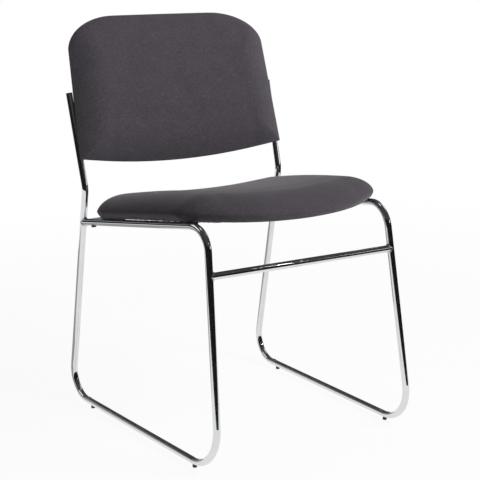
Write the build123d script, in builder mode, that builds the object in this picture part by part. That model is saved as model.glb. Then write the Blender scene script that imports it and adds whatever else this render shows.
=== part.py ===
from build123d import *
from math import hypot, sqrt
import os

os.makedirs("parts", exist_ok=True)

# Chromed tube of the side frames and the crossbars
tube_od = 12.7
tube_wall = 2.0
weld_bite = 0.8
weld_gap = 0.1

# Corners of a side frame: half the spread, depth from the middle, rise above the runner line
front_foot_half = 205.7
rear_half = 217.0
rail_front_half = 187.2
upright_top_half = 221.0
front_foot_y = -266.9
rear_foot_y = 244.7
rail_front_y = -204.9
bend_y = 167.5
upright_top_y = 215.2
rail_front_rise = 403.9
rail_rear_rise = 348.9
bend_rise = 412.5
upright_top_rise = 582.9

# Centre-line bend radii of a side frame
upright_bend = 40
rear_foot_bend = 50
front_foot_bend = 65
rail_bend = 44

# Crossbars
front_bar_rise = 322.5
rear_bar_drop = 2.0

# Button glides under the runners
glide_height = 4.5
glide_od = 8.0
glide_saddle = 2.0
glide_edge = 1.2
glide_stem_od = 4.0
glide_stem_rise = 5.0
glide_front_y = -194
glide_rear_y = 162
stem_clear = 0.15

# Plugs in the drain holes above the runners
drain_pitch = 11.5
drain_plug_od = 3.6
drain_plug_head = 0.8
drain_plug_stem_od = 2.6
drain_plug_stem = 4.0

# Stacking bumpers under the rails
bumper_back = 36
bumper_od = 9
bumper_height = 3
bumper_stem_od = 4
bumper_stem_rise = 5

# End plugs of the uprights
plug_head = 1.6
plug_edge = 0.6
plug_depth = 14
plug_clear = 0.15

# Seat pad outline, measured from the rails
seat_front_overhang = 17.2
seat_rear_overhang = 17.2
seat_front_reach = 26
seat_rear_short = 4
seat_front_bow = 38
seat_rear_bow = 2
seat_front_corner_across = 140
seat_front_corner_along = 59
seat_rear_corner_across = 91
seat_rear_corner_along = 102

# Seat pad heights, measured from its underside
seat_thick = 51.7
seat_belly = 12
seat_round = 76
seat_fullness = 1.74
seat_tuck = 36
seat_sag = 17
seat_front_drop = 1.5
seat_rear_drop = 4

# Back pad outline, measured from the uprights
back_lower_overhang = 8.5
back_upper_draw = 11.2
back_start = 37
back_end = 322.5
back_lower_bow = 17
back_upper_bow = 5
back_upper_corner_across = 108
back_upper_corner_along = 64
back_lower_corner_across = 12
back_lower_corner_along = 0

# Back pad depths, measured from its rear face
back_thick = 33.5
back_belly = 2.2
back_round = 64
back_fullness = 2.05
back_tuck = 12
back_sag = 17
back_drop = 2

# Layers of both pads
pad_clear = 0.4
pad_sink = 2.5
pad_skirt = 20
edge_run = 0.3
edge_step = 0.002
layer_gap = 0.3
cover_thick = 1.2
seat_board_thick = 10
back_board_thick = 8
seat_board_inset = 22
back_board_inset = 12
seat_hem = 72
back_hem = 56
dust_inset = 60
dust_thick = 0.6
panel_inset = 43
panel_gap = 0.5
panel_thick = 2.5
panel_peg_od = 5
panel_peg_length = 6
panel_peg_half = 110
panel_peg_low = 82
panel_peg_high = 195
corner_least = 10

# Steel tabs, screws and T-nuts that hold the pads
tab_width = 24
tab_thick = 3
tab_gap = 0.2
tab_edge = 4
tab_inner = 10
tab_corner = 6
seat_screw_in = 18
back_screw_in = 24
seat_tab_front = 75
seat_tab_rear = 300
back_tab_low = 80
back_tab_high = 148
screw_od = 6
screw_hole = 6.6
screw_head_od = 11
screw_head = 3
screw_socket = 4
screw_socket_depth = 1.8
screw_short = 1.2
nut_bore = 6.2
nut_barrel_od = 8
nut_barrel = 7
nut_flange_od = 18
nut_flange = 1.5
nut_sunk = 0.2
nut_clear = 0.2

tube_r = tube_od / 2
cope_long = tube_od * 4
bore_r = tube_r - tube_wall
runner_z = glide_height + tube_r
across = Vector(1, 0, 0)

# Corner points of the right side frame
foot_front = Vector(front_foot_half, front_foot_y, runner_z)
foot_rear = Vector(rear_half, rear_foot_y, runner_z)
rail_front = Vector(rail_front_half, rail_front_y, runner_z + rail_front_rise)
bend = Vector(rear_half, bend_y, runner_z + bend_rise)
upright_top = Vector(upright_top_half, upright_top_y, runner_z + upright_top_rise)
rail_rear = foot_rear + (bend - foot_rear) * (rail_rear_rise / bend_rise)
rail_mid = (rail_front + rail_rear) * 0.5
rail_span = rail_rear - rail_front
upright_span = upright_top - bend
leg_span = bend - foot_rear
runner_span = foot_rear - foot_front

# Pad frames: along the rails or the uprights, and square to them towards the sitter
seat_run = Vector(0, rail_span.Y, rail_span.Z).normalized()
seat_out = across.cross(seat_run)
back_run = Vector(0, upright_span.Y, upright_span.Z).normalized()
back_out = across.cross(back_run)
rail_reach = hypot(rail_span.Y, rail_span.Z)
upright_reach = hypot(upright_span.Y, upright_span.Z)


def rail_half(reach):
    return rail_front_half + (rail_rear.X - rail_front_half) * reach / rail_reach


def upright_half(reach):
    return rear_half + (upright_top_half - rear_half) * reach / upright_reach


def on_runner(depth):
    return foot_front + runner_span * ((depth - foot_front.Y) / runner_span.Y)


def quarter(share):
    return sqrt(1 - (1 - min(max(share, 0), 1)) ** 2)


def pad_form(origin, run, out, start, end, start_half, end_half, rest_reach, rest_half):
    at_rest = start_half + (end_half - start_half) * (rest_reach - start) / (end - start)
    return {"origin": origin, "run": run, "out": out, "start": start, "length": end - start,
            "halves": (start_half, end_half), "middle": (start_half + end_half) / 2,
            "rest": rest_half / at_rest}


seat = pad_form(
    Vector(0, rail_front.Y, rail_front.Z), seat_run, seat_out,
    -seat_front_reach, rail_reach - seat_rear_short,
    rail_front_half + seat_front_overhang, rail_rear.X + seat_rear_overhang,
    0, rail_front_half,
)
seat |= {"thick": seat_thick, "belly": seat_belly, "round": seat_round, "fullness": seat_fullness}
seat |= {"tuck": seat_tuck, "sag": seat_sag, "drops": (seat_front_drop, seat_rear_drop)}
seat |= {"bows": (seat_front_bow, seat_rear_bow)}
seat |= {"corners": ((seat_front_corner_across, seat_front_corner_along),
                     (seat_rear_corner_across, seat_rear_corner_along))}

back = pad_form(
    Vector(0, bend.Y, bend.Z), back_run, back_out,
    back_start, back_end,
    upright_half(back_start) + back_lower_overhang, upright_half(back_end) - back_upper_draw,
    back_start, upright_half(back_start),
)
back |= {"thick": back_thick, "belly": back_belly, "round": back_round, "fullness": back_fullness}
back |= {"tuck": back_tuck, "sag": back_sag, "drops": (back_drop, back_drop)}
back |= {"bows": (back_lower_bow, back_upper_bow)}
back |= {"corners": ((back_lower_corner_across, back_lower_corner_along),
                     (back_upper_corner_across, back_upper_corner_along))}

# Shares of the half-width at which a pad section is drawn
half_stations = (0.2, 0.4, 0.6, 0.76, 0.87, 0.945, 0.985)
stations = [-share for share in reversed(half_stations)] + [0] + list(half_stations)


def widest(pad, inset):
    return 1 - inset / pad["middle"]


def base_height(pad, share):
    rest = tube_r + pad_clear + pad["sag"] * (1 - pad["rest"] ** 2)
    return rest - pad["sag"] * (1 - share**2)


def drawn_in(pad, share, inset, end):
    wide, long = pad["corners"][end]
    wide = max(wide - inset, corner_least)
    long = max(long - inset, min(long, corner_least))
    edge = (widest(pad, inset) - abs(share)) * pad["middle"]
    return inset + pad["bows"][end] * share**2 + long * (1 - quarter(edge / wide))


def slant(pad, share, inset, end):
    step = edge_step
    outer = drawn_in(pad, abs(share) + step, inset, end)
    inner = drawn_in(pad, abs(share) - step, inset, end)
    return hypot(1, (outer - inner) / (2 * step * pad["middle"]))


def fan_plane(pad, share):
    start = pad["origin"] + pad["run"] * pad["start"] + across * (share * pad["halves"][0])
    along = pad["run"] * pad["length"] + across * (share * (pad["halves"][1] - pad["halves"][0]))
    return Plane(origin=start, x_dir=along, z_dir=along.cross(pad["out"]))


def pad_sections(pad, inset):
    sections = []
    full = pad["thick"] - inset - pad["belly"]
    for station in stations:
        share = station * widest(pad, inset)
        edge = (widest(pad, inset) - abs(share)) * pad["middle"]
        crown = quarter(edge / pad["round"]) ** pad["fullness"]
        middle = base_height(pad, share) + pad["belly"]
        edge_over = quarter(edge_run) ** pad["fullness"]
        edge_under = quarter(edge_run)
        low = middle - (pad["belly"] - inset + pad_sink) * quarter(edge / pad["tuck"])
        start = drawn_in(pad, share, inset, 0)
        end = pad["length"] - drawn_in(pad, share, inset, 1)
        lean = [slant(pad, share, inset, 0), slant(pad, share, inset, 1)]
        over = [min(edge, pad["round"]) * lean[0], min(edge, pad["round"]) * lean[1]]
        under = [min(edge, pad["tuck"]) * lean[0], min(edge, pad["tuck"]) * lean[1]]
        rise = [(full - pad["drops"][0]) * crown, (full - pad["drops"][1]) * crown]
        with BuildSketch(fan_plane(pad, share)) as section:
            with BuildLine():
                Line((start + under[0], low), (end - under[1], low))
                ThreePointArc((end - under[1], low),
                              (end - edge_run * under[1], middle - edge_under * (middle - low)),
                              (end, middle))
                ThreePointArc((end, middle),
                              (end - edge_run * over[1], middle + edge_over * rise[1]),
                              (end - over[1], middle + rise[1]))
                ThreePointArc((end - over[1], middle + rise[1]), ((start + end) / 2, middle + full * crown),
                              (start + over[0], middle + rise[0]))
                ThreePointArc((start + over[0], middle + rise[0]),
                              (start + edge_run * over[0], middle + edge_over * rise[0]), (start, middle))
                ThreePointArc((start, middle),
                              (start + edge_run * under[0], middle - edge_under * (middle - low)),
                              (start + under[0], low))
            make_face()
        sections.append(section.sketch)
    return sections


def slab_sections(pad, inset, low, high):
    sections = []
    for station in stations:
        share = station * widest(pad, inset)
        base = base_height(pad, share)
        start = drawn_in(pad, share, inset, 0)
        end = pad["length"] - drawn_in(pad, share, inset, 1)
        with BuildSketch(fan_plane(pad, share)) as section:
            with BuildLine():
                Polyline((start, base + low), (end, base + low), (end, base + high), (start, base + high),
                         close=True)
            make_face()
        sections.append(section.sketch)
    return sections


def pad_volume(pad, inset):
    with BuildPart() as volume:
        loft(sections=pad_sections(pad, inset))
        loft(sections=slab_sections(pad, -pad_skirt, -pad_skirt, inset), mode=Mode.SUBTRACT)
    return volume.part


def base_plane(pad, half, reach):
    part_way = reach - pad["start"]
    wide = pad["halves"][0] + (pad["halves"][1] - pad["halves"][0]) * part_way / pad["length"]
    share = half / wide
    along = fan_plane(pad, share).x_dir
    slope = 2 * pad["sag"] * share / wide
    level = base_height(pad, share)
    spot = pad["origin"] + pad["run"] * reach + across * half + pad["out"] * level
    return Plane(origin=spot, x_dir=along, z_dir=(across + pad["out"] * slope).cross(along))


seat_spots = [(rail_half(reach) - seat_screw_in, reach) for reach in (seat_tab_front, seat_tab_rear)]
back_spots = [(upright_half(reach) - back_screw_in, reach) for reach in (back_tab_low, back_tab_high)]
seat_fixings = [base_plane(seat, side * half, reach) for side in (-1, 1) for half, reach in seat_spots]
back_fixings = [base_plane(back, side * half, reach) for side in (-1, 1) for half, reach in back_spots]
panel_pegs = [base_plane(back, side * panel_peg_half, back_start + reach)
              for side in (-1, 1) for reach in (panel_peg_low, panel_peg_high)]


def save(part, name):
    part.label = name
    export_step(part, f"parts/{name}.step")


# Places on the right runner and rail where small pieces sit
glide_spots = {"front": on_runner(glide_front_y), "rear": on_runner(glide_rear_y)}
drain_spots = [on_runner(glide_front_y - drain_pitch), on_runner(glide_rear_y + drain_pitch)]
bumper_spot = rail_front + rail_span * ((rail_reach - bumper_back) / rail_reach)
bumper_plane = Plane(origin=bumper_spot, z_dir=seat_out * -1)

# Right side frame: one bent tube, the rail closed onto the rear leg
with BuildPart() as side_frame_right:
    with BuildSketch(Plane(origin=rail_mid, z_dir=rail_span)):
        Circle(tube_r)
        Circle(bore_r, mode=Mode.SUBTRACT)
    extrude(amount=(rail_rear - rail_mid).length)
    with Locations(Plane(origin=rail_rear, z_dir=leg_span)):
        Cylinder(tube_r - weld_bite, cope_long, mode=Mode.SUBTRACT)
    with BuildLine():
        FilletPolyline(upright_top, bend, foot_rear, foot_front, rail_front, rail_mid,
                       radius=[upright_bend, rear_foot_bend, front_foot_bend, rail_bend])
    with BuildSketch(Plane(origin=upright_top, z_dir=upright_span * -1)):
        Circle(tube_r)
        Circle(bore_r, mode=Mode.SUBTRACT)
    sweep()
    with Locations(*glide_spots.values()):
        Cylinder(glide_stem_od / 2 + stem_clear, runner_z, mode=Mode.SUBTRACT,
                 align=(Align.CENTER, Align.CENTER, Align.MAX))
    with Locations(*drain_spots):
        Cylinder(drain_plug_stem_od / 2 + stem_clear, runner_z, mode=Mode.SUBTRACT,
                 align=(Align.CENTER, Align.CENTER, Align.MIN))
    with Locations(bumper_plane):
        Cylinder(bumper_stem_od / 2 + stem_clear, tube_od, mode=Mode.SUBTRACT,
                 align=(Align.CENTER, Align.CENTER, Align.MIN))
save(side_frame_right.part, "side_frame_right")

with BuildPart() as side_frame_left:
    mirror(side_frame_right.part, about=Plane.YZ)
save(side_frame_left.part, "side_frame_left")

# Front crossbar, coped onto the front legs
leg_rise = rail_front - foot_front
front_bar_end = foot_front + leg_rise * (front_bar_rise / rail_front_rise)
front_bar_mid = Vector(0, front_bar_end.Y, front_bar_end.Z)
with BuildPart() as front_crossbar:
    with BuildSketch(Plane(origin=front_bar_mid, z_dir=across)):
        Circle(tube_r)
        Circle(bore_r, mode=Mode.SUBTRACT)
    extrude(amount=front_bar_end.X, both=True)
    for side in (-1, 1):
        leg = Vector(side * leg_rise.X, leg_rise.Y, leg_rise.Z)
        with Locations(Plane(origin=(side * front_bar_end.X, front_bar_end.Y, front_bar_end.Z), z_dir=leg)):
            Cylinder(tube_r + weld_gap, cope_long, mode=Mode.SUBTRACT)
save(front_crossbar.part, "front_crossbar")

# Rear crossbar, coped onto the rear legs beside the rail ends
rear_bar_end = foot_rear + leg_span * ((rail_rear_rise - rear_bar_drop) / bend_rise)
rear_bar_mid = Vector(0, rear_bar_end.Y, rear_bar_end.Z)
with BuildPart() as rear_crossbar:
    with BuildSketch(Plane(origin=rear_bar_mid, z_dir=across)):
        Circle(tube_r)
        Circle(bore_r, mode=Mode.SUBTRACT)
    extrude(amount=rear_bar_end.X, both=True)
    for side in (-1, 1):
        leg = Vector(side * leg_span.X, leg_span.Y, leg_span.Z)
        rail = Vector(side * rail_span.X, rail_span.Y, rail_span.Z)
        with Locations(Plane(origin=(side * rear_bar_end.X, rear_bar_end.Y, rear_bar_end.Z), z_dir=leg)):
            Cylinder(tube_r + weld_gap, cope_long, mode=Mode.SUBTRACT)
        with Locations(Plane(origin=(side * rail_rear.X, rail_rear.Y, rail_rear.Z), z_dir=rail)):
            Cylinder(tube_r + weld_gap, cope_long, mode=Mode.SUBTRACT)
save(rear_crossbar.part, "rear_crossbar")

# Button glides, saddled to the runner, with a stem through its lower wall
for place, spot in glide_spots.items():
    with BuildPart() as glide_right:
        with Locations((spot.X, spot.Y, 0)):
            Cylinder(glide_od / 2, glide_height + glide_saddle, align=(Align.CENTER, Align.CENTER, Align.MIN))
        fillet(glide_right.edges().group_by(Axis.Z)[0], glide_edge)
        with Locations(Plane(origin=spot, z_dir=runner_span)):
            Cylinder(tube_r + weld_gap, cope_long, mode=Mode.SUBTRACT)
        with Locations((spot.X, spot.Y, glide_edge)):
            Cylinder(glide_stem_od / 2, glide_height + glide_stem_rise - glide_edge,
                     align=(Align.CENTER, Align.CENTER, Align.MIN))
    save(glide_right.part, f"glide_{place}_right")
    with BuildPart() as glide_left:
        mirror(glide_right.part, about=Plane.YZ)
    save(glide_left.part, f"glide_{place}_left")

# Drain plugs on top of the runners
with BuildPart() as drain_plugs:
    for spot in drain_spots:
        with Locations((spot.X, spot.Y, spot.Z + tube_r - drain_plug_stem)):
            Cylinder(drain_plug_stem_od / 2, drain_plug_stem, align=(Align.CENTER, Align.CENTER, Align.MIN))
        with Locations((spot.X, spot.Y, spot.Z + tube_r)):
            Cylinder(drain_plug_od / 2, drain_plug_head, align=(Align.CENTER, Align.CENTER, Align.MIN))
    mirror(about=Plane.YZ)
save(drain_plugs.part, "drain_plugs")

# Stacking bumpers under the rails
with BuildPart() as rail_bumper_right:
    with Locations(bumper_plane):
        Cylinder(bumper_od / 2, tube_r + bumper_height, align=(Align.CENTER, Align.CENTER, Align.MIN))
    with Locations(Plane(origin=bumper_spot, z_dir=rail_span)):
        Cylinder(tube_r + weld_gap, cope_long, mode=Mode.SUBTRACT)
    with Locations(bumper_plane.offset(tube_r - bumper_stem_rise)):
        Cylinder(bumper_stem_od / 2, bumper_stem_rise + bumper_height / 2,
                 align=(Align.CENTER, Align.CENTER, Align.MIN))
save(rail_bumper_right.part, "rail_bumper_right")

with BuildPart() as rail_bumper_left:
    mirror(rail_bumper_right.part, about=Plane.YZ)
save(rail_bumper_left.part, "rail_bumper_left")

# End plugs of the uprights
with BuildPart() as upright_plug_right:
    with Locations(Plane(origin=upright_top, z_dir=upright_span)):
        Cylinder(tube_r, plug_head, align=(Align.CENTER, Align.CENTER, Align.MIN))
    fillet(upright_plug_right.edges().sort_by(Axis.Z)[-1], plug_edge)
    with Locations(Plane(origin=upright_top, z_dir=upright_span * -1)):
        Cylinder(bore_r - plug_clear, plug_depth, align=(Align.CENTER, Align.CENTER, Align.MIN))
save(upright_plug_right.part, "upright_plug_right")

with BuildPart() as upright_plug_left:
    mirror(upright_plug_right.part, about=Plane.YZ)
save(upright_plug_left.part, "upright_plug_left")

# Layers of a pad above its underside
board_low = cover_thick + layer_gap
seat_board_high = board_low + seat_board_thick
back_board_high = board_low + back_board_thick
hem_cut = cover_thick + layer_gap / 2
nut_hole = nut_barrel_od / 2 + nut_clear

# Seat pad
seat_outside = pad_volume(seat, 0)
seat_inside = pad_volume(seat, cover_thick)
seat_filling = pad_volume(seat, board_low)
with BuildPart() as seat_cover:
    add(seat_outside)
    add(seat_inside, mode=Mode.SUBTRACT)
    loft(sections=slab_sections(seat, seat_hem, -hem_cut, hem_cut), mode=Mode.SUBTRACT)
    with Locations(*seat_fixings):
        Cylinder(nut_hole, board_low * 2, mode=Mode.SUBTRACT)
save(seat_cover.part, "seat_cover")

with BuildPart() as seat_foam:
    add(seat_filling)
    loft(sections=slab_sections(seat, seat_board_inset - layer_gap, 0, seat_board_high + layer_gap),
         mode=Mode.SUBTRACT)
save(seat_foam.part, "seat_foam")

with BuildPart() as seat_board:
    loft(sections=slab_sections(seat, seat_board_inset, board_low, seat_board_high))
    with Locations(*seat_fixings):
        Cylinder(nut_hole, seat_board_high * 2, mode=Mode.SUBTRACT)
    with Locations(*[plane.offset(seat_board_high - nut_sunk - nut_flange) for plane in seat_fixings]):
        Cylinder(nut_flange_od / 2 + nut_clear, seat_board_thick, mode=Mode.SUBTRACT,
                 align=(Align.CENTER, Align.CENTER, Align.MIN))
save(seat_board.part, "seat_board")

with BuildPart() as seat_dust_cover:
    loft(sections=slab_sections(seat, dust_inset, -layer_gap - dust_thick, -layer_gap))
save(seat_dust_cover.part, "seat_dust_cover")

# Back pad
back_outside = pad_volume(back, 0)
back_inside = pad_volume(back, cover_thick)
back_filling = pad_volume(back, board_low)
with BuildPart() as back_cover:
    add(back_outside)
    add(back_inside, mode=Mode.SUBTRACT)
    loft(sections=slab_sections(back, back_hem, -hem_cut, hem_cut), mode=Mode.SUBTRACT)
    with Locations(*back_fixings):
        Cylinder(nut_hole, board_low * 2, mode=Mode.SUBTRACT)
save(back_cover.part, "back_cover")

with BuildPart() as back_foam:
    add(back_filling)
    loft(sections=slab_sections(back, back_board_inset - layer_gap, 0, back_board_high + layer_gap),
         mode=Mode.SUBTRACT)
save(back_foam.part, "back_foam")

with BuildPart() as back_board:
    loft(sections=slab_sections(back, back_board_inset, board_low, back_board_high))
    with Locations(*back_fixings):
        Cylinder(nut_hole, back_board_high * 2, mode=Mode.SUBTRACT)
    with Locations(*[plane.offset(back_board_high - nut_sunk - nut_flange) for plane in back_fixings]):
        Cylinder(nut_flange_od / 2 + nut_clear, back_board_thick, mode=Mode.SUBTRACT,
                 align=(Align.CENTER, Align.CENTER, Align.MIN))
    with Locations(*panel_pegs):
        Cylinder(panel_peg_od / 2 + stem_clear, (board_low + panel_peg_length) * 2, mode=Mode.SUBTRACT)
save(back_board.part, "back_board")

with BuildPart() as back_rear_panel:
    loft(sections=slab_sections(back, panel_inset, -panel_gap - panel_thick, -panel_gap))
    with Locations(*[plane.offset(-panel_gap - panel_thick / 2) for plane in panel_pegs]):
        Cylinder(panel_peg_od / 2, panel_thick / 2 + panel_gap + board_low + panel_peg_length - layer_gap,
                 align=(Align.CENTER, Align.CENTER, Align.MIN))
save(back_rear_panel.part, "back_rear_panel")


def tab_blank(plane, tube_in):
    outward = -1 if plane.origin.X > 0 else 1
    length = tab_inner + tube_in - tab_edge
    with BuildSketch(plane.offset(-tab_gap)) as blank:
        with Locations((0, outward * (length / 2 - tab_inner))):
            Rectangle(tab_width, length)
        inner_end = blank.vertices().sort_by(Axis.X)
        inner_end = inner_end[:2] if plane.origin.X > 0 else inner_end[-2:]
        fillet(inner_end, tab_corner)
        Circle(screw_hole / 2, mode=Mode.SUBTRACT)
    return blank.sketch


# Steel tabs welded to the rails
with BuildPart() as seat_tabs:
    for plane in seat_fixings:
        extrude(tab_blank(plane, seat_screw_in), amount=-tab_thick)
    for side in (-1, 1):
        rail = Vector(side * rail_span.X, rail_span.Y, rail_span.Z)
        with Locations(Plane(origin=(side * rail_mid.X, rail_mid.Y, rail_mid.Z), z_dir=rail)):
            Cylinder(tube_r + weld_gap, rail_reach, mode=Mode.SUBTRACT)
save(seat_tabs.part, "seat_tabs")

# Steel tabs welded to the uprights
with BuildPart() as back_tabs:
    for plane in back_fixings:
        extrude(tab_blank(plane, back_screw_in), amount=-tab_thick)
    for side in (-1, 1):
        upright = Vector(side * upright_span.X, upright_span.Y, upright_span.Z)
        with Locations(Plane(origin=(side * bend.X, bend.Y, bend.Z), z_dir=upright)):
            Cylinder(tube_r + weld_gap, upright_reach * 2, mode=Mode.SUBTRACT)
save(back_tabs.part, "back_tabs")

# Screws from outside and T-nuts sunk in the boards
pad_fixings = {"seat": (seat_fixings, seat_board_high), "back": (back_fixings, back_board_high)}
for name, (fixings, board_high) in pad_fixings.items():
    with BuildPart() as screws:
        for plane in fixings:
            head_face = plane.offset(-tab_gap - tab_thick)
            with Locations(head_face):
                Cylinder(screw_od / 2, tab_gap + tab_thick + board_high - screw_short,
                         align=(Align.CENTER, Align.CENTER, Align.MIN))
                Cylinder(screw_head_od / 2, screw_head, align=(Align.CENTER, Align.CENTER, Align.MAX))
            with BuildSketch(head_face.offset(-screw_head)):
                RegularPolygon(screw_socket / 2, 6, major_radius=False)
            extrude(amount=screw_socket_depth, mode=Mode.SUBTRACT)
    save(screws.part, f"{name}_screws")
    with BuildPart() as t_nuts:
        for plane in fixings:
            with Locations(plane.offset(board_high - nut_sunk)):
                Cylinder(nut_flange_od / 2, nut_flange, align=(Align.CENTER, Align.CENTER, Align.MAX))
                Cylinder(nut_barrel_od / 2, nut_barrel, align=(Align.CENTER, Align.CENTER, Align.MAX))
                Cylinder(nut_bore / 2, nut_barrel * 3, mode=Mode.SUBTRACT)
    save(t_nuts.part, f"{name}_t_nuts")
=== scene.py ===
import bpy
import bmesh
import cmath
import math
import numpy as np
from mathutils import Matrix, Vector


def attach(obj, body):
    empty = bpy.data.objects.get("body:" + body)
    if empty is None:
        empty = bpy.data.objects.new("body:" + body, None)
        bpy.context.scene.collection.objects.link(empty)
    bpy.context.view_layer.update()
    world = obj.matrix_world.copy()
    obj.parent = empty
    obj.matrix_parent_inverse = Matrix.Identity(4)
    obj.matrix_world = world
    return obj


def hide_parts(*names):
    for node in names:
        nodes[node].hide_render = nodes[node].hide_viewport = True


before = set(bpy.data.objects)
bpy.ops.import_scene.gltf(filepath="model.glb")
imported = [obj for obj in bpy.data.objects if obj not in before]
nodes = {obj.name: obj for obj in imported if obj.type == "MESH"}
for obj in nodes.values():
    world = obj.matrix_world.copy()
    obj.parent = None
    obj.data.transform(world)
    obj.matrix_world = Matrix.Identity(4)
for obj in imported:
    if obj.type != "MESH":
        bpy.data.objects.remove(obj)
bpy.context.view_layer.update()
scene = bpy.context.scene
scene.view_settings.view_transform = "Standard"
print("frame: %d nodes loaded" % len(nodes))


def hexColour(code):
    parts = [int(code[i:i + 2], 16) / 255 for i in (1, 3, 5)]
    return [c / 12.92 if c <= 0.04045 else ((c + 0.055) / 1.055) ** 2.4 for c in parts] + [1.0]


def addNode(tree, kind, links=(), **settings):
    node = tree.nodes.new(kind)
    for key, value in settings.items():
        if hasattr(node, key):
            setattr(node, key, value)
        else:
            node.inputs[key.replace("_", " ")].default_value = value
    for socket, source in dict(links).items():
        tree.links.new(source, node.inputs[socket])
    return node


def newMaterial(name):
    material = bpy.data.materials.new(name)
    material.use_nodes = True
    tree = material.node_tree
    shader = tree.nodes["Principled BSDF"]
    where = addNode(tree, "ShaderNodeTexCoord").outputs["Object"]
    return material, tree, shader, where


def perMetre(mm):
    return 1000 / mm  # texture scale that repeats once in so many millimetres


def noiseAt(tree, where, mm, detail, **more):
    return addNode(tree, "ShaderNodeTexNoise", {"Vector": where}, Scale=perMetre(mm), Detail=detail, **more)


def twoTone(tree, source, dark, light):
    ramp = addNode(tree, "ShaderNodeValToRGB", {"Fac": source})
    ramp.color_ramp.elements[0].color = hexColour(dark)
    ramp.color_ramp.elements[1].color = hexColour(light)
    return ramp.outputs["Color"]


def spread(tree, source, low, high, start=0.0, end=1.0):
    span = addNode(tree, "ShaderNodeMapRange", {"Value": source},
                   From_Min=start, From_Max=end, To_Min=low, To_Max=high)
    return span.outputs["Result"]


def addRelief(tree, shader, height, strength, depth):
    relief = addNode(tree, "ShaderNodeBump", {"Height": height}, Strength=strength, Distance=depth)
    tree.links.new(relief.outputs["Normal"], shader.inputs["Normal"])


# metal plate over steel: a mirror or a sheen, with a faint buffing haze and hand marks
plateLook = {"smudgeMm": 34, "buffMm": 6, "relief": 0.015, "depth": 0.0002}


def metalPlate(name, colours, haze):
    material, tree, shader, where = newMaterial(name)
    smudge = noiseAt(tree, where, plateLook["smudgeMm"], 4.0, Roughness=0.6).outputs["Fac"]
    buff = noiseAt(tree, where, plateLook["buffMm"], 1.0).outputs["Fac"]
    tree.links.new(twoTone(tree, smudge, *colours), shader.inputs["Base Color"])
    tree.links.new(spread(tree, smudge, *haze), shader.inputs["Roughness"])
    addRelief(tree, shader, buff, plateLook["relief"], plateLook["depth"])
    shader.inputs["Metallic"].default_value = 1.0
    return material


# near mirror on the tubes, a softer shine on the tabs, dull yellowish grey on screws, nuts and staples
chromedTube = metalPlate("chromePlatePolished", ("#D2D4D6", "#E4E6E8"), (0.045, 0.10))
chromedTab = metalPlate("chromePlateOverPressedSteel", ("#B9BBBD", "#D4D6D8"), (0.16, 0.30))
zincSteel = metalPlate("zincPlatePassivated", ("#A9A795", "#C6C7C0"), (0.26, 0.44))

# moulded plastic or rubber: spark-eroded mould grain, dull sheen, a little dust
mouldLook = {"dustMm": 22, "relief": 0.25, "depth": 0.0003}


def mouldedPlain(name, colours, grainMm, rough):
    material, tree, shader, where = newMaterial(name)
    dust = noiseAt(tree, where, mouldLook["dustMm"], 5.0).outputs["Fac"]
    pits = addNode(tree, "ShaderNodeTexVoronoi", {"Vector": where}, Scale=perMetre(grainMm))
    tree.links.new(twoTone(tree, dust, *colours), shader.inputs["Base Color"])
    tree.links.new(spread(tree, dust, *rough), shader.inputs["Roughness"])
    addRelief(tree, shader, pits.outputs["Distance"], mouldLook["relief"], mouldLook["depth"])
    return material


# black with a low shine on the glides, matt mid grey on the bumpers, grained near black on plugs and panel
glideNylon = mouldedPlain("nylonMoulded", ("#121213", "#202022"), 1.1, (0.30, 0.45))
bumperGrey = mouldedPlain("rubberMouldedGrey", ("#5E5E60", "#747476"), 1.6, (0.55, 0.75))
blackPlastic = mouldedPlain("polypropyleneSparkEroded", ("#1C1C1E", "#29292B"), 1.3, (0.42, 0.60))

# moulded beech plywood: rotary-cut grain on the faces
plyLook = {"colours": ("#A98358", "#D2B388"), "grainMm": (7, 60, 7), "relief": 0.2, "depth": 0.0004,
           "rough": 0.6}


def mouldedPlywood():
    material, tree, shader, where = newMaterial("beechPlywoodMoulded")
    grain = addNode(tree, "ShaderNodeMapping", {"Vector": where},
                    Scale=[perMetre(mm) for mm in plyLook["grainMm"]])
    fibre = addNode(tree, "ShaderNodeTexNoise", {"Vector": grain.outputs["Vector"]}, Scale=1.0, Detail=6.0)
    tree.links.new(twoTone(tree, fibre.outputs["Fac"], *plyLook["colours"]), shader.inputs["Base Color"])
    addRelief(tree, shader, fibre.outputs["Fac"], plyLook["relief"], plyLook["depth"])
    shader.inputs["Roughness"].default_value = plyLook["rough"]
    return material


plywood = mouldedPlywood()

# woven charcoal upholstery: two-tone threads, a soft nap, faint flecks and rubbed patches
clothLook = {
    "warp": "#4E494F", "weft": "#423F44", "fleck": "#716B72", "pit": "#2C292D", "nap": "#EAE5EA",
    "threadMm": 2.2,  # real threads are about 0.8 mm apart, drawn coarser so that they show
    "slubMm": 6, "slubShift": 0.0016, "fleckMm": 3.4, "mottleMm": 30,
    "fleckFrom": (0.54, 0.70), "fleckMost": 0.24, "pitFrom": (0.46, 0.30), "pitMost": 0.22,
    "mottle": (0.86, 1.12), "relief": 0.2, "depth": 0.0005,
    "rough": 0.92, "shine": 0.25, "napShare": 0.25, "napRough": 0.45,
}


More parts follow.
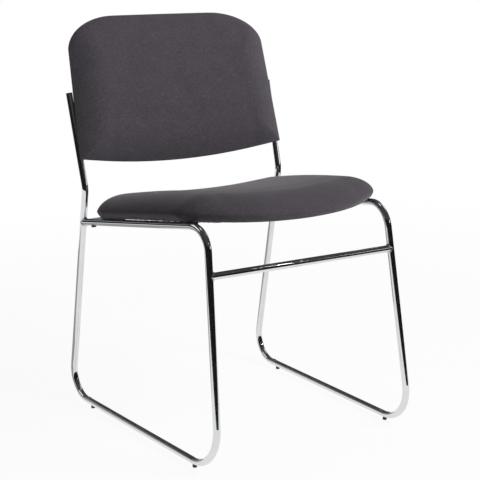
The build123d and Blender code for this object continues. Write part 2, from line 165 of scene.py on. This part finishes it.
def wovenCharcoal():
    material, tree, shader, where = newMaterial("polyesterWovenCharcoal")
    flat = addNode(tree, "ShaderNodeUVMap", uv_map="cloth").outputs["UV"]
    slub = noiseAt(tree, where, clothLook["slubMm"], 2.0)
    uneven = addNode(tree, "ShaderNodeVectorMath", {0: slub.outputs["Color"]}, operation="SCALE",
                     Scale=clothLook["slubShift"])
    yarn = addNode(tree, "ShaderNodeVectorMath", {0: flat, 1: uneven.outputs["Vector"]}, operation="ADD")
    threads = addNode(tree, "ShaderNodeMapping", {"Vector": yarn.outputs["Vector"]},
                      Scale=[perMetre(clothLook["threadMm"])] * 3)
    over = addNode(tree, "ShaderNodeTexChecker", {"Vector": threads.outputs["Vector"]}, Scale=1.0)
    split = addNode(tree, "ShaderNodeSeparateXYZ", {"Vector": threads.outputs["Vector"]})
    rounds = []
    for axis in ("X", "Y"):
        turn = addNode(tree, "ShaderNodeMath", {0: split.outputs[axis]}, operation="MULTIPLY")
        turn.inputs[1].default_value = math.pi
        wave = addNode(tree, "ShaderNodeMath", {0: turn.outputs["Value"]}, operation="SINE")
        arch = addNode(tree, "ShaderNodeMath", {0: wave.outputs["Value"]}, operation="ABSOLUTE")
        rounds.append(arch.outputs["Value"])
    height = addNode(tree, "ShaderNodeMix", {"Factor": over.outputs["Fac"], "A": rounds[0], "B": rounds[1]})
    fleck = noiseAt(tree, where, clothLook["fleckMm"], 3.0).outputs["Fac"]
    mottle = noiseAt(tree, where, clothLook["mottleMm"], 4.0).outputs["Fac"]
    spots = spread(tree, fleck, 0.0, clothLook["fleckMost"], *clothLook["fleckFrom"])
    pits = spread(tree, fleck, 0.0, clothLook["pitMost"], *clothLook["pitFrom"])
    shade = spread(tree, mottle, *clothLook["mottle"])
    thread = addNode(tree, "ShaderNodeMix", {"Factor": over.outputs["Fac"]}, data_type="RGBA",
                     A=hexColour(clothLook["warp"]), B=hexColour(clothLook["weft"]))
    pitted = addNode(tree, "ShaderNodeMix", {"Factor": pits, "A": thread.outputs["Result"]},
                     data_type="RGBA", B=hexColour(clothLook["pit"]))
    flecked = addNode(tree, "ShaderNodeMix", {"Factor": spots, "A": pitted.outputs["Result"]},
                      data_type="RGBA", B=hexColour(clothLook["fleck"]))
    worn = addNode(tree, "ShaderNodeVectorMath", {0: flecked.outputs["Result"], "Scale": shade},
                   operation="SCALE")
    tree.links.new(worn.outputs["Vector"], shader.inputs["Base Color"])
    addRelief(tree, shader, height.outputs["Result"], clothLook["relief"], clothLook["depth"])
    shader.inputs["Roughness"].default_value = clothLook["rough"]
    shader.inputs["Specular IOR Level"].default_value = clothLook["shine"]
    shader.inputs["Sheen Weight"].default_value = clothLook["napShare"]
    shader.inputs["Sheen Tint"].default_value = hexColour(clothLook["nap"])
    shader.inputs["Sheen Roughness"].default_value = clothLook["napRough"]
    return material


charcoalCloth = wovenCharcoal()

# spun-bonded polypropylene: pressed point pattern on black fibres
spunLook = {"colours": ("#151516", "#2B2B2C"), "pointMm": 2.2, "fibreMm": 4, "relief": 0.3, "depth": 0.0003,
            "rough": 0.8}


def spunBonded():
    material, tree, shader, where = newMaterial("polypropyleneSpunBonded")
    points = addNode(tree, "ShaderNodeTexVoronoi", {"Vector": where}, Scale=perMetre(spunLook["pointMm"]),
                     Randomness=0.15)
    fibre = noiseAt(tree, where, spunLook["fibreMm"], 6.0).outputs["Fac"]
    tree.links.new(twoTone(tree, fibre, *spunLook["colours"]), shader.inputs["Base Color"])
    addRelief(tree, shader, points.outputs["Distance"], spunLook["relief"], spunLook["depth"])
    shader.inputs["Roughness"].default_value = spunLook["rough"]
    return material


dustCloth = spunBonded()

finishes = {
    chromedTube: ["side_frame_left", "side_frame_right", "front_crossbar", "rear_crossbar"],
    chromedTab: ["seat_tabs", "back_tabs"],
    zincSteel: ["seat_screws", "back_screws", "seat_t_nuts", "back_t_nuts"],
    glideNylon: ["glide_front_left", "glide_front_right", "glide_rear_left", "glide_rear_right",
                 "drain_plugs"],
    bumperGrey: ["rail_bumper_left", "rail_bumper_right"],
    blackPlastic: ["upright_plug_left", "upright_plug_right", "back_rear_panel"],
    plywood: ["seat_board", "back_board"],
    charcoalCloth: ["seat_cover", "back_cover", "seat_foam", "back_foam"],
    dustCloth: ["seat_dust_cover"],
}
for material, names in finishes.items():
    for name in names:
        nodes[name].data.materials.clear()
        nodes[name].data.materials.append(material)
print("materials: %d finishes on %d nodes" % (len(finishes), sum(len(n) for n in finishes.values())))


def addPiece(name, mesh, material):
    piece = bpy.data.objects.new(name, mesh)
    scene.collection.objects.link(piece)
    mesh.materials.clear()
    mesh.materials.append(material)
    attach(piece, "root")
    return piece


def settle(piece):
    bpy.context.view_layer.update()
    made = bpy.data.meshes.new_from_object(piece.evaluated_get(bpy.context.evaluated_depsgraph_get()))
    piece.modifiers.clear()
    piece.data = made


def readPoints(mesh, what):
    points = np.zeros(len(mesh.vertices) * 3, np.float32)
    mesh.vertices.foreach_get(what, points)
    return points.reshape(-1, 3)


def writePoints(mesh, points):
    mesh.vertices.foreach_set("co", np.asarray(points, np.float32).ravel())
    mesh.update()


# centre lines of the bent tubes on the right, in metres
sideFrame = {
    "tubeRadius": 0.00635,
    "footFront": Vector((0.2057, -0.2669, 0.01085)), "footRear": Vector((0.217, 0.2447, 0.01085)),
    "railFront": Vector((0.1872, -0.2049, 0.41475)), "railRear": Vector((0.217, 0.1794, 0.35975)),
    "bend": Vector((0.217, 0.1675, 0.42335)), "uprightTop": Vector((0.221, 0.2152, 0.59375)),
    "frontBar": Vector((0.1909, -0.2174, 0.33335)), "rearBar": Vector((0.217, 0.1798, 0.35775)),
}
across = Vector((1, 0, 0))


def padFrame(start, end):
    run = Vector((0, end.y - start.y, end.z - start.z)).normalized()
    return {"origin": Vector((0, start.y, start.z)), "run": run, "out": across.cross(run)}


seatFrame = padFrame(sideFrame["railFront"], sideFrame["railRear"])
backFrame = padFrame(sideFrame["bend"], sideFrame["uprightTop"])

# shape of each pad in metres, along the rails or uprights; crest and sag place its underside, belly is the
# height of its widest line, round and tuck the reach of its upper and lower curls, fullness the upper one's
# power, and drops the fall of its top towards each end
seatShape = {
    "start": -0.026, "length": 0.41022, "halves": (0.2044, 0.2342), "middle": 0.2193,
    "crest": -0.00725, "sag": 0.017, "bows": (0.038, 0.002), "corners": ((0.140, 0.059), (0.091, 0.102)),
    "thick": 0.0517, "belly": 0.012, "round": 0.076, "fullness": 1.74, "tuck": 0.036,
    "drops": (0.0015, 0.004),
}
backShape = {
    "start": 0.037, "length": 0.2855, "halves": (0.22634, 0.21309), "middle": 0.21971,
    "crest": -0.009, "sag": 0.017, "bows": (0.017, 0.005), "corners": ((0.012, 0.0), (0.108, 0.064)),
    "thick": 0.0335, "belly": 0.0022, "round": 0.064, "fullness": 2.05, "tuck": 0.012,
    "drops": (0.002, 0.002),
}
padTrim = {
    "sink": 0.0025, "roll": 0.3, "wide": 0.9935, "least": 0.010,
    "probe": 0.002,  # step that measures the outline's slope
    "stations": 90, "rollSteps": 16, "topSteps": 52, "tuckSteps": 8, "merge": 0.0004, "sliver": 0.0002,
    "looseRun": 0.012,  # height over which the cover comes free of the board
    "evenRounds": 6,
}


def quarter(share):
    return math.sqrt(1 - (1 - min(max(share, 0), 1)) ** 2)


def drawnIn(shape, share, inset, end):
    wide, long = shape["corners"][end]
    wide = max(wide - inset, padTrim["least"])
    long = max(long - inset, min(long, padTrim["least"]))
    edge = (1 - inset / shape["middle"] - abs(share)) * shape["middle"]
    return inset + shape["bows"][end] * share ** 2 + long * (1 - quarter(edge / wide))


def onPad(local, shape, share, along, height):
    half = shape["halves"][0] + (shape["halves"][1] - shape["halves"][0]) * along / shape["length"]
    return (local["origin"] + local["run"] * (shape["start"] + along)
            + across * (share * half) + local["out"] * height)


# points of the arc from one end through the middle to the other, or of the line where it is all but straight
def arcThrough(one, mid, two, count):
    one, mid, two = complex(*one), complex(*mid), complex(*two)
    if abs(mid - one) < 1e-9 or abs(((two - one) / (mid - one)).imag) < 1e-6:
        return [(p.real, p.imag) for p in (one + (two - one) * i / count for i in range(count))]
    bend = (two - one) / (mid - one)
    centre = one - (one - mid) * (bend - abs(bend) ** 2) / (2j * bend.imag)
    sweep = cmath.phase((mid - centre) / (one - centre)) + cmath.phase((two - centre) / (mid - centre))
    points = [centre + (one - centre) * cmath.exp(1j * sweep * i / count) for i in range(count)]
    return [(p.real, p.imag) for p in points]


# one slice of a pad from its front tip over the top to the rear tip and back underneath
def padSlice(shape, share):
    edge = (1 - abs(share)) * shape["middle"]
    base = shape["crest"] + shape["sag"] * share ** 2
    level = base + shape["belly"]
    crown = quarter(edge / shape["round"]) ** shape["fullness"]
    full = shape["thick"] - shape["belly"]
    low = level - (shape["belly"] + padTrim["sink"]) * quarter(edge / shape["tuck"])
    roll, step = padTrim["roll"], padTrim["probe"]
    tips = (drawnIn(shape, share, 0, 0), shape["length"] - drawnIn(shape, share, 0, 1))
    over, under, rise = [], [], []
    for end in (0, 1):
        grow = drawnIn(shape, abs(share) + step, 0, end) - drawnIn(shape, abs(share) - step, 0, end)
        lean = math.hypot(1, grow / (2 * step * shape["middle"])) * (1 - 2 * end)
        over.append(min(edge, shape["round"]) * lean)
        under.append(min(edge, shape["tuck"]) * lean)
        rise.append((full - shape["drops"][end]) * crown)
    tops = [(tips[e] + over[e], level + rise[e]) for e in (0, 1)]
    rolls = [(tips[e] + roll * over[e], level + quarter(roll) ** shape["fullness"] * rise[e])
             for e in (0, 1)]
    tucks = [(tips[e] + under[e], low) for e in (0, 1)]
    curls = [(tips[e] + roll * under[e], level - quarter(roll) * (level - low)) for e in (0, 1)]
    count = padTrim["topSteps"]
    line = arcThrough((tips[0], level), rolls[0], tops[0], padTrim["rollSteps"])
    line += arcThrough(tops[0], (sum(tips) / 2, level + full * crown), tops[1], count)
    line += arcThrough(tops[1], rolls[1], (tips[1], level), padTrim["rollSteps"])
    line += arcThrough((tips[1], level), curls[1], tucks[1], padTrim["tuckSteps"])
    line += [(tucks[1][0] + (tucks[0][0] - tucks[1][0]) * i / count, low) for i in range(count)]
    line += arcThrough(tucks[0], curls[0], (tips[0], level), padTrim["tuckSteps"])
    return [(along, max(height, base)) for along, height in line]


def padSkin(name, local, shape):
    form = bmesh.new()
    rings = []
    for index in range(padTrim["stations"] + 1):
        share = math.sin(math.pi * (index / padTrim["stations"] - 0.5))
        rings.append([form.verts.new(onPad(local, shape, share * padTrim["wide"], along, height))
                      for along, height in padSlice(shape, share)])
    for one, two in zip(rings, rings[1:]):
        for i in range(len(one)):
            j = (i + 1) % len(one)
            form.faces.new((one[i], one[j], two[j], two[i]))
    bmesh.ops.remove_doubles(form, verts=form.verts, dist=padTrim["merge"])
    bmesh.ops.dissolve_degenerate(form, edges=form.edges, dist=padTrim["sliver"])
    bmesh.ops.recalc_face_normals(form, faces=form.faces)
    mesh = bpy.data.meshes.new(name)
    form.to_mesh(mesh)
    form.free()
    return mesh


# the filling presses out each cover, which is held where it is stapled to the board
seatPadLook = {"drawIn": 0.003, "pressure": 4.0, "cap": 0.0012, "fill": 0.85, "frames": 20}
backPadLook = {"drawIn": 0.003, "pressure": 4.0, "cap": 0.0025, "fill": 0.85, "frames": 20}
coverCloth = {
    "quality": 5, "mass": 0.3, "tension_stiffness": 25, "compression_stiffness": 25, "shear_stiffness": 10,
    "bending_stiffness": 1.5, "use_pressure": True,
}


def evenOut(mesh, field, rounds):
    ends = np.zeros(len(mesh.edges) * 2, np.int32)
    mesh.edges.foreach_get("vertices", ends)
    one, two = ends.reshape(-1, 2).T
    count = np.bincount(ends, minlength=len(field))[:, None]
    for turn in range(rounds):
        total = np.zeros_like(field)
        np.add.at(total, one, field[two])
        np.add.at(total, two, field[one])
        field = 0.5 * field + 0.5 * total / count
    return field


def swell(pad, stapled, look):
    held = pad.vertex_groups.new(name="stapled")
    for index, share in enumerate(stapled):
        if share > 0:
            held.add([index], float(share), "REPLACE")
    cloth = pad.modifiers.new("cloth", "CLOTH")
    for key, value in coverCloth.items():
        setattr(cloth.settings, key, value)
    cloth.settings.uniform_pressure_force = look["pressure"]
    cloth.settings.vertex_group_mass = "stapled"
    cloth.settings.effector_weights.gravity = 0
    cloth.collision_settings.use_collision = False
    cloth.point_cache.frame_start = 1
    cloth.point_cache.frame_end = look["frames"]
    for step in range(1, look["frames"] + 1):
        scene.frame_set(step)
    settle(pad)
    scene.frame_set(1)
    pad.vertex_groups.clear()


# flat-cut coordinates of the cover: the cloth that goes down a side continues the top
def clothUv(mesh, local):
    rel = readPoints(mesh, "co") - np.array(local["origin"])
    normals = readPoints(mesh, "normal")
    height = rel @ np.array(local["out"])
    drop = (height.max() - height)[:, None]
    axes = np.array([across, local["run"]]).T
    flat = rel @ axes + (normals @ axes) * drop
    corners = np.zeros(len(mesh.loops), np.int32)
    mesh.loops.foreach_get("vertex_index", corners)
    layer = mesh.uv_layers.new(name="cloth")
    layer.data.foreach_set("uv", flat[corners].astype(np.float32).ravel())


def makePad(name, hidden, local, shape, look):
    pad = addPiece(name, padSkin(name, local, shape), charcoalCloth)
    goal = readPoints(pad.data, "co")
    normals = readPoints(pad.data, "normal")
    rel = goal - np.array(local["origin"])
    share = np.abs(rel[:, 0]) / shape["middle"]
    level = rel @ np.array(local["out"]) - shape["crest"] - shape["sag"] * share ** 2 - shape["belly"]
    loose = np.clip(level / padTrim["looseRun"], 0, 1)
    writePoints(pad.data, goal - normals * (look["drawIn"] * loose)[:, None])
    swell(pad, 1 - loose, look)
    out = ((readPoints(pad.data, "co") - goal) * normals).sum(1)
    out = np.clip(out, 0, look["cap"])[:, None] * loose[:, None]
    out = evenOut(pad.data, out, padTrim["evenRounds"])
    writePoints(pad.data, goal + normals * out)
    clothUv(pad.data, local)
    finer = pad.modifiers.new("finer", "SUBSURF")
    finer.levels = 1
    finer.render_levels = 1
    settle(pad)
    pad.data.polygons.foreach_set("use_smooth", [True] * len(pad.data.polygons))
    pad.data.materials.clear()
    pad.data.materials.append(charcoalCloth)
    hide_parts(*hidden)
    print("pad: %s has %d faces" % (name, len(pad.data.polygons)))


makePad("seatPad", ["seat_cover", "seat_foam"], seatFrame, seatShape, seatPadLook)
makePad("backPad", ["back_cover", "back_foam"], backFrame, backShape, backPadLook)


# a bent rod of round wire or weld metal along a path; outs holds the way out at each point
def addRod(form, path, outs, radii, closed, around=8):
    rings = []
    for index, point in enumerate(path):
        last = len(path) - 1
        ahead = path[(index + 1) % len(path)] if closed or index < last else point
        behind = path[index - 1] if closed or index else point
        tangent = (ahead - behind).normalized()
        aside = tangent.cross(outs[index]).normalized()
        upward = aside.cross(tangent)
        ring = []
        for turn in range(around):
            angle = 2 * math.pi * turn / around
            spoke = aside * math.cos(angle) + upward * math.sin(angle)
            ring.append(form.verts.new(point + spoke * radii[index]))
        rings.append(ring)
    pairs = list(zip(rings, rings[1:] + rings[:1] if closed else rings[1:]))
    for one, two in pairs:
        for turn in range(around):
            after = (turn + 1) % around
            form.faces.new((one[turn], one[after], two[after], two[turn]))
    if not closed:
        form.faces.new(list(reversed(rings[0])))
        form.faces.new(rings[-1])


def finishForm(name, form, material):
    bmesh.ops.recalc_face_normals(form, faces=form.faces)
    for face in form.faces:
        face.smooth = True
    mesh = bpy.data.meshes.new(name)
    form.to_mesh(mesh)
    form.free()
    return addPiece(name, mesh, material)


# weld beads where one tube is coped onto another, ground flush at the sides and plated over with the frame
weldLook = {"radius": 0.0022, "flush": 0.25, "ripple": 0.08, "waves": 15, "steps": 90}
chromedWeld = metalPlate("chromePlateOverWeldBead", ("#C4C6C8", "#DCDEE0"), (0.08, 0.18))


def mirrored(vector, side):
    return Vector((vector.x * side, vector.y, vector.z))


def weldRing(name, end, along, axis):
    radius = sideFrame["tubeRadius"]
    along, axis = along.normalized(), axis.normalized()
    aside = along.cross(axis).normalized()
    upward = aside.cross(along)
    flatAlong = along - axis * along.dot(axis)
    path, outs, radii = [], [], []
    for step in range(weldLook["steps"]):
        angle = 2 * math.pi * step / weldLook["steps"]
        way = aside * math.cos(angle) + upward * math.sin(angle)
        start = way * radius
        flat = start - axis * start.dot(axis)
        half = flat.dot(flatAlong) / flatAlong.length_squared
        rest = (flat.length_squared - radius ** 2) / flatAlong.length_squared
        reach = -half - math.sqrt(max(half * half - rest, 0))
        path.append(end + start + along * reach)
        outs.append(way)
        ripple = 1 + weldLook["ripple"] * math.sin(weldLook["waves"] * angle)
        ground = weldLook["flush"] + (1 - weldLook["flush"]) * math.sin(angle) ** 2
        radii.append(weldLook["radius"] * ripple * ground)
    form = bmesh.new()
    addRod(form, path, outs, radii, True)
    finishForm(name, form, chromedWeld)


legFront = sideFrame["railFront"] - sideFrame["footFront"]
legRear = sideFrame["bend"] - sideFrame["footRear"]
rail = sideFrame["railRear"] - sideFrame["railFront"]
for word, side in (("Left", -1), ("Right", 1)):
    front, rear = mirrored(legFront, side), mirrored(legRear, side)
    weldRing("weldRail" + word, mirrored(sideFrame["railRear"], side), mirrored(rail, side), rear)
    weldRing("weldFrontBar" + word, mirrored(sideFrame["frontBar"], side), across * side, front)
    weldRing("weldRearBar" + word, mirrored(sideFrame["rearBar"], side), across * side, rear)
print("welds: 6 beads")

# dust cover under the seat, stretched over the board and stapled round its edge
dustLook = {
    "inset": 0.060, "below": 0.0006, "thick": 0.0005, "count": 36,
    "pucker": 0.0005, "puckerHalf": 1.5, "puckerRows": 4,  # depth, then counted in grid steps
    "curve": 1.01,  # length across the board's sag for each length of straight line
}


def underSeat(share, along, below):
    height = seatShape["crest"] + seatShape["sag"] * share ** 2 - below
    return onPad(seatFrame, seatShape, share, along, height)


def seatSpan(share, inset):
    rear = seatShape["length"] - drawnIn(seatShape, share, inset, 1)
    return drawnIn(seatShape, share, inset, 0), rear


count = dustLook["count"]
widest = 1 - dustLook["inset"] / seatShape["middle"]
form = bmesh.new()
grid = []
for i in range(count + 1):
    share = widest * math.sin(math.pi * (i / count - 0.5))
    first, last = seatSpan(share, dustLook["inset"])
    row = []
    for j in range(count + 1):
        along = first + (last - first) * j / count
        edge = min(i, j, count - i, count - j)
        wave = math.cos((i + j) * math.pi / dustLook["puckerHalf"])
        fold = dustLook["pucker"] * wave * max(0, 1 - edge / dustLook["puckerRows"])
        row.append(form.verts.new(underSeat(share, along, dustLook["below"] + fold)))
    grid.append(row)
for i in range(count):
    for j in range(count):
        form.faces.new((grid[i][j], grid[i + 1][j], grid[i + 1][j + 1], grid[i][j + 1]))
area = sum(face.calc_area() for face in form.faces)
dustSheet = finishForm("seatDustSheet", form, dustCloth)
thicken = dustSheet.modifiers.new("thick", "SOLIDIFY")
thicken.thickness = dustLook["thick"]
thicken.offset = 0
settle(dustSheet)
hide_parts("seat_dust_cover")

# staples through the dust cover
stapleLook = {
    "inset": 0.067, "pitch": 0.034, "wide": 0.010, "wire": 0.00045,
    "crown": 0.93, "proud": 0.0006, "legs": 0.0012, "steps": 60, "sides": 6,
}
inset, pitch, steps = (stapleLook[key] for key in ("inset", "pitch", "steps"))
widest = 1 - inset / seatShape["middle"]
shares = [widest * math.sin(math.pi * (i / steps - 0.5)) for i in range(steps + 1)]
edgeLine = [underSeat(share, seatSpan(share, inset)[0], dustLook["below"]) for share in shares]
edgeLine += [underSeat(share, seatSpan(share, inset)[1], dustLook["below"]) for share in reversed(shares)]
edgeLine.append(edgeLine[0])
form = bmesh.new()
gone, placed = 0.0, 0
for one, two in zip(edgeLine, edgeLine[1:]):
    piece = two - one
    while piece.length > 0 and (placed + 0.5) * pitch < gone + piece.length:
        spot = one + piece * (((placed + 0.5) * pitch - gone) / piece.length)
        way = piece.normalized() * (stapleLook["wide"] / 2)
        down = seatFrame["out"] * -stapleLook["proud"]
        legs = seatFrame["out"] * stapleLook["legs"]
        crown = way * stapleLook["crown"]
        path = [spot - way + legs, spot - way, spot - crown + down, spot + crown + down,
                spot + way, spot + way + legs]
        outs = [piece.cross(seatFrame["out"])] * len(path)
        addRod(form, path, outs, [stapleLook["wire"]] * len(path), False, stapleLook["sides"])
        placed += 1
    gone += piece.length
finishForm("dustSheetStaples", form, zincSteel)
print("staples: %d" % placed)

# camera at the photo's angle
shot = {
    "place": (-1.2915, -1.9642, 0.8547), "elevation": 12.55, "azimuth": -33.59,
    "lens": 98.175, "sensor": 36, "farthest": 60,
}
lens = bpy.data.cameras.new("camera")
lens.lens = shot["lens"]
lens.sensor_width = shot["sensor"]
lens.clip_end = shot["farthest"]
camera = bpy.data.objects.new("camera", lens)
camera.location = shot["place"]
camera.rotation_euler = (math.radians(90 - shot["elevation"]), 0, math.radians(shot["azimuth"]))
scene.collection.objects.link(camera)
scene.camera = camera

# pale floor: white to the eye and in the chrome, with the chair's shadow left on it
floorLook = {"half": 14, "glow": 0.93, "near": 0.7, "far": 2.6, "colour": "#F4F4F4"}


def whiteFloor():
    material = bpy.data.materials.new("paperSweepWhite")
    material.use_nodes = True
    tree = material.node_tree
    tree.nodes.remove(tree.nodes["Principled BSDF"])
    path = addNode(tree, "ShaderNodeLightPath")
    seen = path.outputs["Is Camera Ray"]
    for kind in ("Is Glossy Ray", "Is Transmission Ray"):
        either = addNode(tree, "ShaderNodeMath", {0: seen, 1: path.outputs[kind]}, operation="MAXIMUM")
        seen = either.outputs["Value"]
    spot = addNode(tree, "ShaderNodeTexCoord").outputs["Object"]
    away = addNode(tree, "ShaderNodeVectorMath", {0: spot}, operation="LENGTH")
    fade = addNode(tree, "ShaderNodeMapRange", {"Value": away.outputs["Value"]},
                   interpolation_type="SMOOTHSTEP",
                   From_Min=floorLook["near"], From_Max=floorLook["far"], To_Min=floorLook["glow"])
    share = addNode(tree, "ShaderNodeMath", {0: seen, 1: fade.outputs["Result"]}, operation="MULTIPLY")
    paper = addNode(tree, "ShaderNodeBsdfDiffuse", Color=hexColour(floorLook["colour"]))
    glow = addNode(tree, "ShaderNodeEmission", Strength=1.0)
    both = addNode(tree, "ShaderNodeMixShader", {0: share.outputs["Value"], 1: paper.outputs["BSDF"],
                                                 2: glow.outputs["Emission"]})
    tree.links.new(both.outputs["Shader"], tree.nodes["Material Output"].inputs["Surface"])
    return material


floorMesh = bpy.data.meshes.new("floor")
half = floorLook["half"]
corners = [(-half, -half, 0), (half, -half, 0), (half, half, 0), (-half, half, 0)]
floorMesh.from_pydata(corners, [], [(0, 1, 2, 3)])
floorMesh.materials.append(whiteFloor())
floor = bpy.data.objects.new("floor", floorMesh)
scene.collection.objects.link(floor)

# studio cards, out of shot: the dark one draws dark bands in the chrome, the grey one a soft edge on its legs
# each line gives azimuth, radius of the near edge and of the standing part, and height
cardLook = {
    "darkCard": {"colour": "#141415", "glow": 0, "line": (
        (-150, 2.7, 2.7, 1.4), (-75, 2.4, 2.4, 1.3), (-40, 1.7, 1.7, 1.1), (0, 1.1, 1.1, 0.85),
        (40, 1.0, 1.0, 0.55), (110, 1.2, 1.2, 0.5))},
    "greyCard": {"colour": "#A4A4A6", "glow": 1, "line": ((165, 0.4, 0.75, 0.2), (250, 0.4, 0.75, 0.2))},
}
cardTrim = {"steps": 73, "lift": 0.002, "rough": 0.9}
for name, look in cardLook.items():
    line = np.array(look["line"])
    turns = np.linspace(line[0, 0], line[-1, 0], cardTrim["steps"])
    near, reach, level = (np.interp(turns, line[:, 0], line[:, k]) for k in (1, 2, 3))
    lift = cardTrim["lift"]
    spots, faces = [], []
    for step, turn in enumerate(np.radians(turns)):
        for radius, height in ((near[step], lift), (reach[step], lift), (reach[step], level[step])):
            spots.append((float(math.sin(turn) * radius), float(-math.cos(turn) * radius), float(height)))
        if step:
            for low in (3 * step - 3, 3 * step - 2):
                faces.append((low, low + 3, low + 4, low + 1))
    mesh = bpy.data.meshes.new(name)
    mesh.from_pydata(spots, [], faces)
    paper = bpy.data.materials.new(name + "Paper")
    paper.use_nodes = True
    shader = paper.node_tree.nodes["Principled BSDF"]
    shader.inputs["Roughness"].default_value = cardTrim["rough"]
    shader.inputs["Base Color"].default_value = hexColour("#000000" if look["glow"] else look["colour"])
    shader.inputs["Emission Color"].default_value = hexColour(look["colour"])
    shader.inputs["Emission Strength"].default_value = look["glow"]
    mesh.materials.append(paper)
    card = bpy.data.objects.new(name, mesh)
    card.visible_camera = False
    card.visible_shadow = False
    card.visible_diffuse = look["glow"] == 0
    scene.collection.objects.link(card)

# soft boxes light the cloth; dim strips and small bare lamps draw streaks and glints in the chrome
lamps = {
    "keyBox": {"place": (1.4, -2.2, 2.4), "size": (1.4, 1.4), "watts": 77, "glossy": False},
    "lowBox": {"place": (1.3, -2.4, 1.0), "size": (1.4, 1.4), "watts": 35, "glossy": False},
    "leftBox": {"place": (-2.0, 1.4, 1.6), "size": (1.4, 1.4), "watts": 7, "glossy": True},
    "rearBox": {"place": (0.6, 2.6, 0.45), "size": (1.4, 0.9), "watts": 15, "glossy": False},
    "stripRight": {"place": (1.75, -1.75, 1.05), "size": (1.4, 0.22), "watts": 1.6, "glossy": True},
    "stripLeft": {"place": (-0.9, 2.33, 1.02), "size": (1.7, 0.16), "watts": 0.4, "glossy": True},
    "glintRight": {"place": (1.36, -1.69, 1.78), "size": (0.05, 0.05), "watts": 0.6, "glossy": True},
    "glintSide": {"place": (2.2, 0.3, 1.9), "size": (1.1, 1.1), "watts": 4.5, "glossy": True},
    "glintTop": {"place": (-0.2, 0.2, 2.6), "size": (0.7, 0.4), "watts": 1.2, "glossy": True},
}
lampAim = Vector((0, 0, 0.35))  # middle of the chair
for name, lamp in lamps.items():
    data = bpy.data.lights.new(name, "AREA")
    data.shape = "RECTANGLE"
    data.size, data.size_y = lamp["size"]
    data.energy = lamp["watts"]
    light = bpy.data.objects.new(name, data)
    light.location = lamp["place"]
    light.rotation_euler = (lampAim - Vector(lamp["place"])).to_track_quat("-Z", "Y").to_euler()
    light.visible_camera = False
    light.visible_glossy = lamp["glossy"]
    scene.collection.objects.link(light)

# the room: white to the eye; in the chrome white to just over the horizon, then falling to a dark ceiling
skyLook = {"low": 0.10, "high": 0.24, "dark": 0.06}
world = bpy.data.worlds.new("room")
world.use_nodes = True
scene.world = world
tree = world.node_tree
direction = addNode(tree, "ShaderNodeTexCoord").outputs["Generated"]
rise = addNode(tree, "ShaderNodeSeparateXYZ", {"Vector": direction}).outputs["Z"]
fall = spread(tree, rise, 1.0, skyLook["dark"], skyLook["low"], skyLook["high"])
path = addNode(tree, "ShaderNodeLightPath")
bright = addNode(tree, "ShaderNodeMath", {0: fall, 1: path.outputs["Is Camera Ray"]}, operation="MAXIMUM")
tree.links.new(bright.outputs["Value"], tree.nodes["Background"].inputs["Strength"])
tree.nodes["Background"].inputs["Color"].default_value = hexColour("#FFFFFF")
print("stage: camera, floor, %d cards and %d lamps" % (len(cardLook), len(lamps)))
